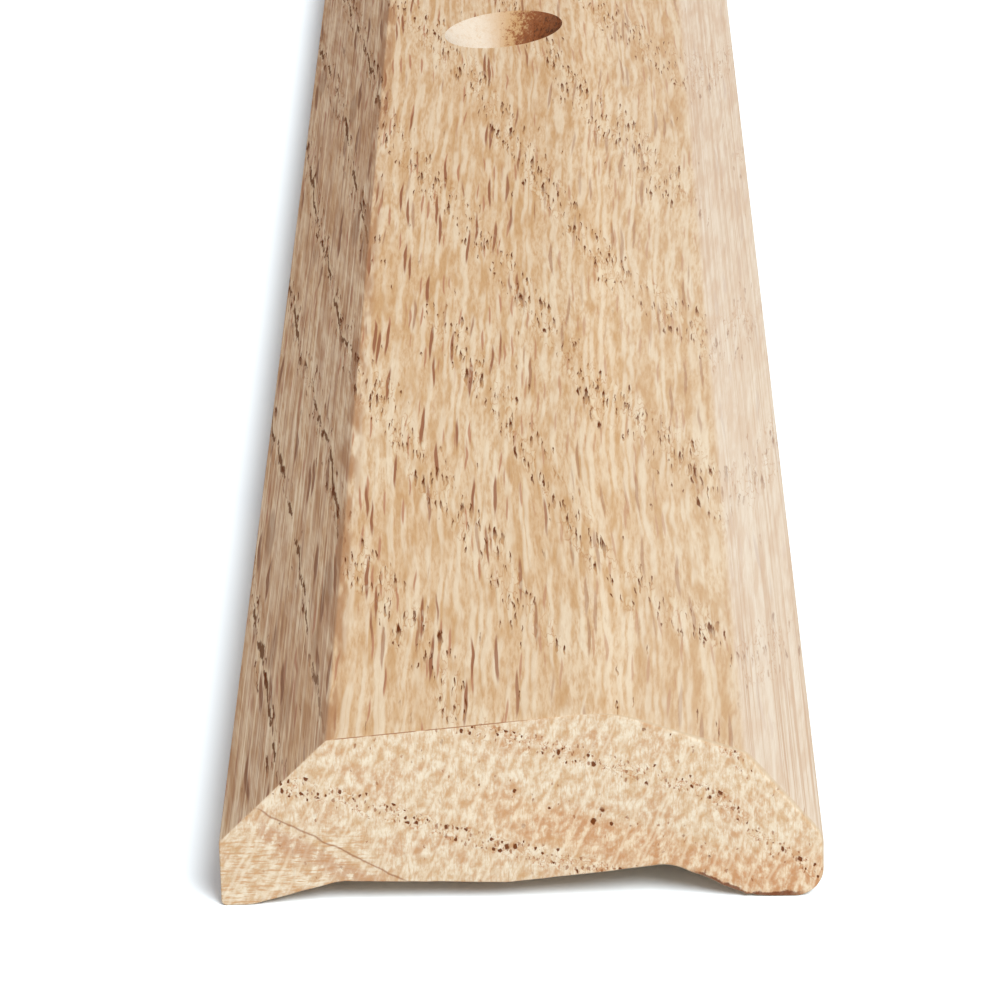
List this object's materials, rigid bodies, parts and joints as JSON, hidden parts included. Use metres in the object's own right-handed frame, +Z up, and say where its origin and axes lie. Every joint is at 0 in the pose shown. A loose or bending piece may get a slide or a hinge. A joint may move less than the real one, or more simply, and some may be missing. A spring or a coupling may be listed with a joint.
{
  "type": "threshold strip",
  "caption": "Solid oak threshold strip with bevelled flanks, a gently crowned top, a relieved underside and countersunk screw holes along its length.",
  "frame": {"origin": "middle of the underside: halfway along the strip and across its width, on the plane its feet stand on", "axes": "+Y along the strip, +X across it towards the softer, steeper bevel, +Z up out of the floor"},
  "size_m": [0.0444, 0.9144, 0.0151],
  "materials": {
    "oak": "unfinished planed oak, matt"
  },
  "bodies": {
    "root": {"oak_strip": "oak"}
  },
  "joints": []
}
